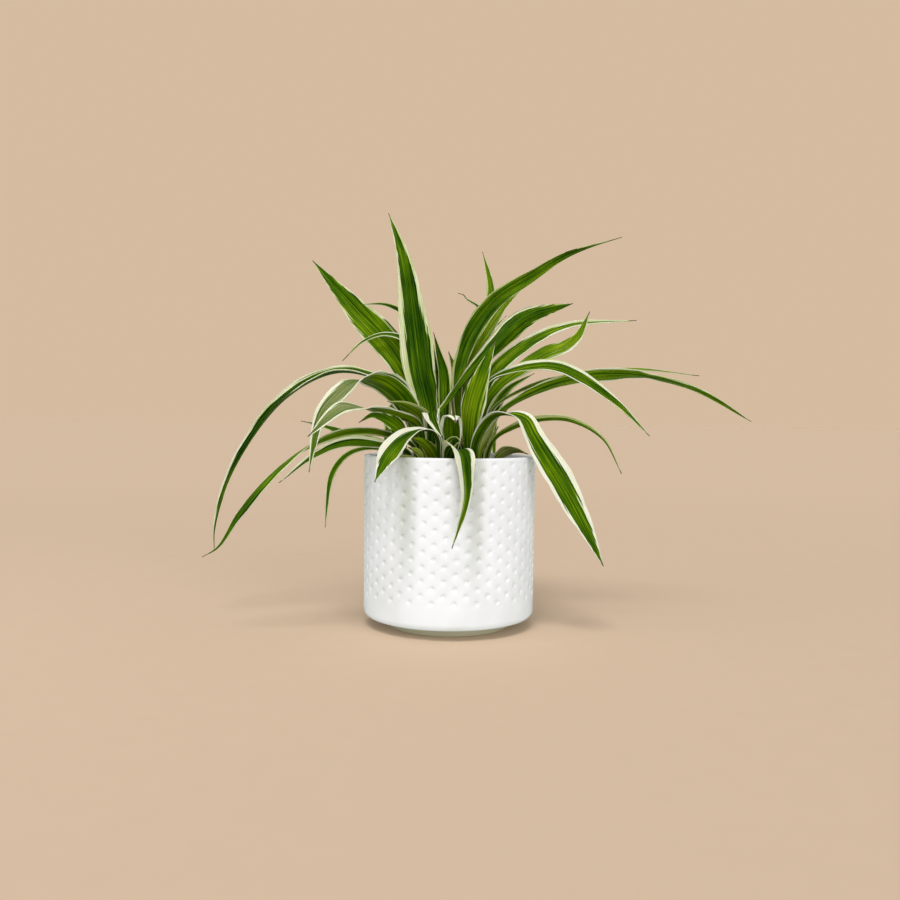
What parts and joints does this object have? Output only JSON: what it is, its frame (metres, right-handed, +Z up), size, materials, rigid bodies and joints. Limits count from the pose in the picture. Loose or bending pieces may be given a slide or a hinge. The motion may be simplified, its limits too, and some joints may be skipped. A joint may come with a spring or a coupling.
{
  "type": "potted plant",
  "caption": "Potted spider plant with long arching green leaves edged in cream, in a round white glazed pot with a dimpled wall.",
  "frame": {"origin": "middle of the pot's foot, on the surface that the pot stands on", "axes": "+Z up along the pot's axis, -Y towards the plant's front, +X to the right seen from the front"},
  "size_m": [0.395, 0.2031, 0.2973],
  "materials": {
    "glaze": "gloss",
    "earth": "rough",
    "stem": "satin",
    "leaf": "satin"
  },
  "bodies": {
    "root": {"pot": "glaze", "soil": "earth", "crown_left": "stem", "crown_right": "stem", "crown_front": "stem", "crown_side": "stem", "leaf_tall": "leaf", "leaf_upper_left": "leaf", "leaf_far_left_high": "leaf", "leaf_broad_left": "leaf", "leaf_pale_left": "leaf", "leaf_inner_left": "leaf", "leaf_thin_back_left": "leaf", "leaf_thin_left": "leaf", "leaf_centre": "leaf", "leaf_centre_back": "leaf", "leaf_upper_right": "leaf", "leaf_dark_inner": "leaf", "leaf_short_front": "leaf", "leaf_whip_right": "leaf", "leaf_behind_whip": "leaf", "leaf_centre_point": "leaf", "leaf_curly_back": "leaf", "leaf_back_point": "leaf", "leaf_front_upright": "leaf", "leaf_hanging_right": "leaf", "leaf_inner_right": "leaf", "leaf_inner_low": "leaf", "leaf_arching_right": "leaf", "leaf_bright_right": "leaf", "leaf_thin_right": "leaf", "leaf_far_right": "leaf", "leaf_far_right_back": "leaf", "leaf_short_right": "leaf", "leaf_lower_right": "leaf", "leaf_rim_right": "leaf", "leaf_over_rim_left": "leaf", "leaf_over_rim_front": "leaf", "leaf_curled_front": "leaf", "leaf_small_front_left": "leaf", "leaf_small_front_right": "leaf", "leaf_far_left_low": "leaf", "leaf_pale_low_left": "leaf", "leaf_rim_left": "leaf", "leaf_dry_tip_left": "leaf", "leaf_low_back_left": "leaf", "leaf_dark_side": "leaf", "leaf_dark_low": "leaf", "leaf_back_1": "leaf", "leaf_back_2": "leaf", "leaf_back_3": "leaf", "leaf_back_4": "leaf", "leaf_back_5": "leaf", "leaf_back_6": "leaf", "leaf_back_7": "leaf", "leaf_back_8": "leaf", "leaf_back_9": "leaf"}
  },
  "joints": []
}
